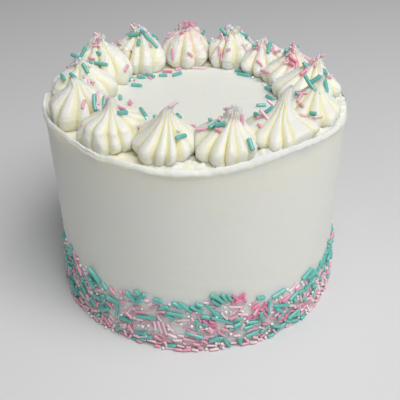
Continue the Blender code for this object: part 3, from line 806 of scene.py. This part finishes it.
# then the band itself, in drifts whose rods lie roughly the same way
CROWDING = [(0.0, 1.0), (0.3, 0.95), (0.7, 0.80), (0.9, 0.5), (1.0, 0.2)]
TEAL_SHARES = [(0.0, 2.0), (0.4, 4.5), (0.8, 7.0), (1.0, 8.0)]
PRESSED_IN = 12000                                # tries, most of which find no room
SHAKEN_IN = 4200
draw = random.Random(5)
for _ in range(PRESSED_IN):
    azimuth = draw.uniform(-180.0, 180.0)
    spot = at(azimuth, 1.0, 0.0)
    edge = between(BAND_EDGE, azimuth) + 1.5 * noise.noise(spot * 14.0)
    share = draw.random() ** 1.1
    height = edge * share
    drift = noise.noise(Vector((spot.x * 7.0, spot.y * 7.0, height / 11.0)))
    patch = noise.noise(Vector((spot.x * 6.0 + 40.0, spot.y * 6.0, height / 13.0)))
    crowd = between(CROWDING, share) + 1.1 * drift
    teal = between(TEAL_SHARES, share) * max(0.2, 1.0 + 2.4 * patch)
    left = 1.0 if -140.0 < azimuth < -32.0 else 0.0    # where the teal ones gathered
    teal *= 1.8 + 1.4 * left if azimuth < -32.0 or azimuth > 40.0 else 1.0
    kind = handful(draw, ((TEAL, teal), (PINK, 4.4 - 2.0 * left), (PALE, 4.6 - 0.8 * left), (ROSE, 0.3),
                          (PEARL, 1.4)))
    sunk = -0.3 if kind in (PINK, PALE) else 0.0
    if draw.random() > crowd - (1.2 if sunk == 0.0 else 0.55) * bare(azimuth, share, height):
        continue
    lean = 95.0 * noise.noise(Vector((spot.x * 5.0, spot.y * 5.0 + 9.0, height / 16.0)))
    lean += draw.gauss(0.0, 34.0)
    over = draw.random() < 0.30 * (1.0 - 0.6 * share)
    press_in(kind, azimuth, height, math.radians(lean), usual_length(kind, draw),
             lift=1.0 if over else sunk, squeeze=0.50 if over else 0.86, draw=draw)
for _ in range(SHAKEN_IN):                        # pearls and short bits shaken into the gaps
    azimuth = draw.uniform(-180.0, 180.0)
    share = draw.random() ** 1.4
    height = between(BAND_EDGE, azimuth) * share
    if draw.random() < 1.2 * bare(azimuth, share, height):
        continue
    kind = handful(draw, ((PEARL, 3), (PALE, 4), (PINK, 2), (TEAL, 1)))
    lean = math.radians(draw.uniform(-90.0, 90.0))
    press_in(kind, azimuth, height, lean, draw.uniform(2.4, 3.8), lift=0.0, squeeze=0.92, draw=draw)

# ---------------------------------------------------------------------------
# The sprinkles on top. The same mix cast over the piped crown from the back,
# so that it clings to the peaks and inner slopes and lies along the edge of
# the bare disc: each falls straight down and stays where it lands.
# ---------------------------------------------------------------------------
DROP_HEIGHT = 0.2
DOWN = Vector((0.0, 0.0, -1.0))
landing_points, landing_faces = [], []
for piece in [cake_icing] + swirls:
    first = len(landing_points)
    landing_points += [v.co.copy() for v in piece.data.vertices]
    landing_faces += [[first + i for i in polygon.vertices] for polygon in piece.data.polygons]
icing_below = BVHTree.FromPolygons(landing_points, landing_faces)


def drop(kind, draw, azimuth, radius, heading, length, pitch=None):
    """Let one sprinkle fall at an azimuth and radius (mm), lying along a heading or held at a pitch."""
    place, normal, _, _ = icing_below.ray_cast(at(azimuth, radius * MM, DROP_HEIGHT), DOWN)
    if place is None:
        return
    thick = THICKNESS[kind] * draw.uniform(0.94, 1.06)
    along = at(heading, 1.0, 0.0)
    along = (along - normal * along.dot(normal)).normalized()
    ends = []
    for sign in (-0.4, 0.4):                      # it bridges whatever lies under its two ends
        spot = place + along * sign * length * MM
        hit, _, _, _ = icing_below.ray_cast(Vector((spot.x, spot.y, DROP_HEIGHT)), DOWN)
        if hit is None or abs(hit.z - spot.z) > 0.25 * length * MM:
            hit = spot
        ends.append(hit)
    lie = (ends[1] - ends[0]).normalized()
    if pitch is not None:
        lie = at(heading, math.cos(math.radians(pitch)), math.sin(math.radians(pitch)))
    out = (normal - lie * normal.dot(lie)).normalized()
    centre = place / MM + out * thick * 0.34
    if kind == PEARL:
        add_pearl(centre, thick)
    else:
        add_rod(kind, centre, lie, out, length, thick, draw.uniform(-0.06, 0.06) * length)


# those that show: azimuth, radius, heading and length of each, and the pitch of one that stands up
TOP_SPRINKLES = {
    TEAL: (
        (-56, 59, 8, 9, -40), (-55.5, 55, 0, 9, -45), (-91, 41, 8, 5), (-34, 61, 130, 5.5),
        (-56, 33, 20, 10), (-20, 54, 20, 5), (-9, 54, 30, 4.5), (-6, 68, 130, 6, -5), (-117, 37, 87, 6),
        (137, 41, 58, 8), (102, 41, 30, 6), (86, 40, 35, 6), (70, 36.5, 92, 5), (37, 57.5, 97, 5, 35),
        (33, 53.5, 32, 4.5), (7.5, 61.5, 115, 6, 20), (10, 64, 80, 5.5, 20), (7, 53, 8, 4.5),
        (18.5, 74.5, 18, 6), (66, 63, 55, 12, -44), (68, 64, 96, 6, 35), (82.5, 68, 23, 9, -60),
        (65.5, 58, 90, 7, 5), (55, 69, 60, 3.5), (91, 59, 57, 7, -45), (114, 56, 28, 4),
        (131, 56.5, -15, 8, -35), (149, 62, 60, 8.5, -45), (143, 43.5, 45, 7), (135, 42, 84, 5),
        (-143, 59, 93, 7), (-147, 56, 95, 6), (-155, 57, 60, 5), (-150, 52, 52, 12, -35),
        (-142, 53.5, 5, 5), (161, 56, 62, 7, -40), (-125, 45, 120, 5), (-133, 43, 80, 5),
        (-140, 41, 50, 7), (-149, 36.5, 88, 5), (-162, 34.5, 132, 6.5), (-115, 69.5, -46, 7, -50),
        (-91, 58, 28, 6), (-111, 56, 80, 8, -5), (-89, 69.5, 28, 6), (-117, 37.5, 70, 6),
        (-47, 37, 35, 5),
    ),
    PINK: (
        (-82, 35, 20, 4.5), (-26, 58.5, 60, 5), (-2.5, 52, 30, 5), (2.5, 61, 88, 6, -2),
        (117, 43.5, 40, 5), (101, 43, 20, 5), (32, 58, 80, 5, 20), (8.5, 66, 45, 3.5),
        (18.5, 63.5, 0, 6.5, -62), (14, 58.5, 15, 5, 25), (62, 59.5, 91, 5, 8), (60, 59, -23, 5),
        (57, 61.5, 25, 3.5), (91, 62.5, 97, 6, 42), (88, 69, 90, 5, -30), (106, 58, 15, 7),
        (113, 59, 12, 5), (129, 58, 162, 5), (127, 60, 142, 5), (137, 52, 60, 4), (127, 46, 32, 5),
        (115, 44, 60, 4), (-148, 58, 90, 6), (-148, 51, 50, 4), (-137, 38.5, 34, 4), (-176, 59, 140, 5),
        (-172, 58, 60, 4), (-179, 58.5, 130, 5, -20), (-173, 57.5, 100, 5, 30), (-163.5, 45.5, 5, 7, -65),
        (159, 52, 40, 4), (-166, 42, 118, 4.5), (-176, 42, 60, 4), (162, 45.5, 0, 5, -60),
        (159, 45, 0, 5, -60), (-110, 61, 56, 4), (-118, 44, 10, 5), (-57, 64.5, 0, 5), (-165, 60, 100, 4),
        (88, 57, 120, 4),
    ),
    PALE: (
        (-58, 56.5, 4, 8, -30), (-39, 63, 0, 6), (-42, 62, 5, 5), (-9.5, 59.5, 110, 5, 25),
        (39, 58, 66, 8, -31), (33, 59.5, 58, 9, -41), (88, 57.5, 115, 4, 22), (153, 62, 5, 6, -40),
        (146, 54, 58, 5), (-156, 55, 69, 7, -50), (-175, 57, 12, 5, -35), (162, 54.5, 50, 5, -55),
        (177, 42, 87, 8), (-86, 55, 58, 5), (-84, 56, 40, 5), (-122, 63, 89, 7, -27), (-119, 64, 100, 5),
        (-125, 42, 28, 5), (-55, 59, 30, 5), (14, 59.5, 10, 5), (10.5, 60, 0, 6),
    ),
    ROSE: (
        (-36, 59, 80, 4), (-175, 57, 124, 4), (109, 57.5, 25, 6), (108, 55.5, 40, 6), (-156, 40.5, 81, 6),
        (-177, 56, 60, 4), (88, 57, 126, 5, 36), (-78, 36, 20, 3.5),
    ),
    PEARL: (
        (-45, 36, 0, 0), (-7, 66, 0, 0), (-147, 60.4, 0, 0), (158, 56.7, 0, 0), (156, 55.3, 0, 0),
        (-124, 44, 0, 0), (-93, 61, 0, 0), (-122, 40, 0, 0), (95, 43, 0, 0), (110, 41, 0, 0),
        (14, 55, 0, 0), (128, 42, 0, 0), (-35, 40, 0, 0),
    ),
}
draw = random.Random(8)
for kind, rods in TOP_SPRINKLES.items():
    for rod in rods:
        drop(kind, draw, *rod)

# and the rest of the cast, mostly over the back
CAST = 110
CRUMBS = 46
TORN_PEAKS = (4, 5, 6, 7, 8, 8, 9, 10, 11)
draw = random.Random(18)
for _ in range(CAST):
    azimuth = draw.gauss(165.0, 60.0)
    radius = draw.gauss(66.0, 5.0)
    kind = handful(draw, ((TEAL, 3), (PINK, 2), (PALE, 4), (PEARL, 2)))
    drop(kind, draw, azimuth, radius, draw.uniform(0.0, 180.0), usual_length(kind, draw) * 0.8)
for _ in range(CRUMBS):                           # crumbs and pearls caught on the torn peaks
    row = SWIRLS[draw.choice(TORN_PEAKS)]
    azimuth, radius = row[2] + draw.gauss(0.0, 5.5), row[3] + draw.gauss(0.0, 3.6)
    kind = handful(draw, ((PINK, 2), (PALE, 5), (PEARL, 2), (ROSE, 0.6)))
    drop(kind, draw, azimuth, radius, draw.uniform(0.0, 180.0), draw.uniform(2.2, 3.8))


# ---------------------------------------------------------------------------
# The sugar of the sprinkles. Each kind is pressed from its own dyed sugar and
# glazed; all that was gathered of it in the band and on top is one piece.
# ---------------------------------------------------------------------------
def sugar(name, colour, shade, rough):
    """Hard pressed sugar with a thin confectioner's glaze."""
    material = new_material(name, {
        "Roughness": rough, "Specular IOR Level": 0.5, "Coat Weight": 0.6, "Coat Roughness": 0.22,
        "Subsurface Weight": 0.12, "Subsurface Radius": (1.0, 1.0, 1.0), "Subsurface Scale": 0.0008})
    tree = material.node_tree
    shader = tree.nodes["Principled BSDF"]
    place = tree.nodes.new("ShaderNodeTexCoord").outputs["Object"]
    batch = add_node(tree, "TexNoise", {"Scale": 150.0, "Detail": 2.0}, Vector=place)
    tree.links.new(blend(tree, batch.outputs["Fac"], shade, colour), shader.inputs["Base Color"])
    grain = add_node(tree, "TexNoise", {"Scale": 1400.0, "Detail": 2.0}, Vector=place)
    bump = add_node(tree, "Bump", {"Strength": 0.2, "Distance": 0.0001}, Height=grain.outputs["Fac"])
    tree.links.new(bump.outputs["Normal"], shader.inputs["Normal"])
    return material


for kind, colour, shade, rough in (
        (TEAL, (0.17, 0.56, 0.50), (0.11, 0.46, 0.41), 0.26),
        (PINK, (0.84, 0.43, 0.54), (0.78, 0.34, 0.46), 0.30),
        (ROSE, (0.85, 0.26, 0.43), (0.78, 0.19, 0.36), 0.32),
        (PALE, (0.88, 0.66, 0.72), (0.86, 0.56, 0.64), 0.32),
        (PEARL, (0.90, 0.89, 0.86), (0.86, 0.84, 0.80), 0.26)):
    points, faces = gathered[kind]
    sprinkles = mesh_piece(kind, points, faces)
    sprinkles.data.materials.append(sugar(kind.replace("_", " ").capitalize(), colour, shade, rough))

# ---------------------------------------------------------------------------
# The table top, the light and the camera. A plain pale table; soft daylight
# from a large window high on the right, with the room's own light all round.
# ---------------------------------------------------------------------------
TABLE_SIZE = 6.0
WINDOW_PLACE = Vector((0.43, -0.55, 1.28))
WINDOW_AIM = Vector((0.0, 0.0, 0.07))
WINDOW_POWER = 19.3
ROOM_LIGHT = 0.17
CAMERA_PLACE = (0.0, -0.3112, 0.2459)
CAMERA_TURN = math.radians(-0.272)
CAMERA_TILT = math.radians(56.73)
CAMERA_ROLL = math.radians(-0.866)

bpy.ops.mesh.primitive_plane_add(size=TABLE_SIZE, location=(0.0, 0.0, 0.0))
table_top = bpy.context.object
table_top.name = "table_top"
table_top.data.materials.append(
    new_material("Plain pale table", {"Base Color": (0.72, 0.72, 0.73, 1.0), "Roughness": 0.7}))

room = bpy.data.worlds.new("Room light")
room.use_nodes = True
room.node_tree.nodes["Background"].inputs["Color"].default_value = (0.97, 0.985, 1.0, 1.0)
room.node_tree.nodes["Background"].inputs["Strength"].default_value = ROOM_LIGHT
bpy.context.scene.world = room
bpy.context.scene.view_settings.view_transform = 'Standard'

daylight = bpy.data.lights.new("window_front_right", 'AREA')
daylight.size = 1.0
daylight.energy = WINDOW_POWER
daylight.color = (1.0, 0.995, 0.98)
window = bpy.data.objects.new("window_front_right", daylight)
window.location = WINDOW_PLACE
window.rotation_euler = (WINDOW_AIM - WINDOW_PLACE).to_track_quat('-Z', 'Y').to_euler()
bpy.context.scene.collection.objects.link(window)

lens = bpy.data.cameras.new("camera")
lens.sensor_width = 36.0
lens.lens = 55.79
camera = bpy.data.objects.new("camera", lens)
camera.location = CAMERA_PLACE
camera.rotation_euler = (Matrix.Rotation(CAMERA_TURN, 4, 'Z') @ Matrix.Rotation(CAMERA_TILT, 4, 'X')
                         @ Matrix.Rotation(CAMERA_ROLL, 4, 'Z')).to_euler()
bpy.context.scene.collection.objects.link(camera)
bpy.context.scene.camera = camera
